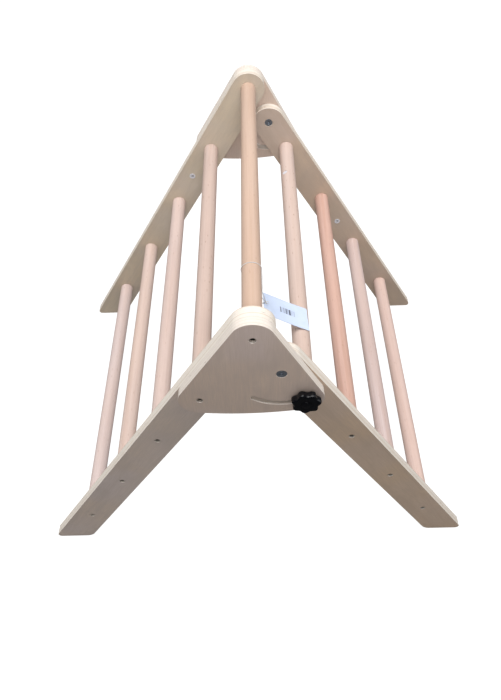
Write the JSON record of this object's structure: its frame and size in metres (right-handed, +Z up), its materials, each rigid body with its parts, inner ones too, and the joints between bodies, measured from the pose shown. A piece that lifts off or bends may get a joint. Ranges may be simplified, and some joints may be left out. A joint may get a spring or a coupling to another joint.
{
  "type": "folding climbing triangle",
  "caption": "Folding wooden climbing triangle: plywood-legged ladder frames with beech rungs, rounded side plates, a fold pivot and clamping star knobs in curved slots.",
  "frame": {"origin": "on the floor, at the middle of the footprint, midway between the tips of the feet and between the side plates", "axes": "+X from the fixed frame's feet towards the folding frame's feet, +Y along the rungs away from the near side plate, +Z up"},
  "size_m": [0.7966, 0.6878, 0.635],
  "materials": {
    "leg_plywood": "birch plywood, satin lacquer",
    "plate_plywood": "birch plywood, satin lacquer",
    "beech_tan": "beech, satin lacquer",
    "beech_pink": "beech, satin lacquer",
    "beech_orange": "beech, satin lacquer",
    "screw_black": "black oxide",
    "insert_zinc": "zinc plated",
    "pivot_steel": "nickel plated",
    "nut_zinc": "zinc plated",
    "washer_steel": "zinc plated",
    "stud_steel": "zinc plated",
    "knob_plastic": "black moulded plastic",
    "tag_card": "pale blue-white card",
    "string_cotton": "twisted cotton"
  },
  "bodies": {
    "left_frame": {"left_leg_near": "leg_plywood", "left_leg_far": "leg_plywood", "side_plate_near": "plate_plywood", "side_plate_far": "plate_plywood", "apex_rung": "beech_tan", "left_rung_1": "beech_pink", "left_rung_2": "beech_pink", "left_rung_3": "beech_pink", "left_rung_4": "beech_pink", "plate_screws_near": "screw_black", "plate_screws_far": "screw_black", "left_screws_near": "screw_black", "left_screws_far": "screw_black", "pivot_bolt_near": "pivot_steel", "pivot_bolt_far": "pivot_steel", "pivot_sleeve_near": "pivot_steel", "pivot_sleeve_far": "pivot_steel", "left_insert_near": "insert_zinc", "left_insert_far": "insert_zinc"},
    "right_frame": {"right_leg_near": "leg_plywood", "right_leg_far": "leg_plywood", "right_rung_1": "beech_pink", "right_rung_2": "beech_orange", "right_rung_3": "beech_pink", "right_rung_4": "beech_pink", "right_screws_near": "screw_black", "right_screws_far": "screw_black", "right_insert_near": "insert_zinc", "right_insert_far": "insert_zinc", "barrel_nut_near": "nut_zinc", "barrel_nut_far": "nut_zinc"},
    "near_washer": {"lock_washer_near": "washer_steel"},
    "near_knob": {"lock_stud_near": "stud_steel", "lock_knob_near": "knob_plastic"},
    "far_washer": {"lock_washer_far": "washer_steel"},
    "far_knob": {"lock_stud_far": "stud_steel", "lock_knob_far": "knob_plastic"},
    "tag": {"hang_tag": "tag_card", "tag_string": "string_cotton"}
  },
  "joints": [
    {"name": "fold", "type": "hinge", "parent": "left_frame", "child": "right_frame", "pos_m": [0.041, 0, 0.5327], "axis": [0, 1, 0], "range_deg": [0, 63]},
    {"name": "near_washer_slide", "type": "slide", "parent": "right_frame", "child": "near_washer", "axis": [0, -1, 0], "range_m": [0, 0.0025]},
    {"name": "near_knob_turn", "type": "hinge", "parent": "near_washer", "child": "near_knob", "pos_m": [0.0762, -0.329, 0.47525], "axis": [0, -1, 0], "range_deg": [0, 720]},
    {"name": "far_washer_slide", "type": "slide", "parent": "right_frame", "child": "far_washer", "axis": [0, 1, 0], "range_m": [0, 0.0025]},
    {"name": "far_knob_turn", "type": "hinge", "parent": "far_washer", "child": "far_knob", "pos_m": [0.0762, 0.329, 0.47525], "axis": [0, 1, 0], "range_deg": [0, 720]},
    {"name": "tag_swing", "type": "hinge", "parent": "left_frame", "child": "tag", "pos_m": [0.0027, 0, 0.604], "axis": [0, -1, 0], "range_deg": [0, 100]}
  ],
  "couplings": [
    {"joint": "near_knob_turn", "follows": "near_washer_slide", "rad_per_m": 5026.5},
    {"joint": "far_knob_turn", "follows": "far_washer_slide", "rad_per_m": 5026.5}
  ]
}
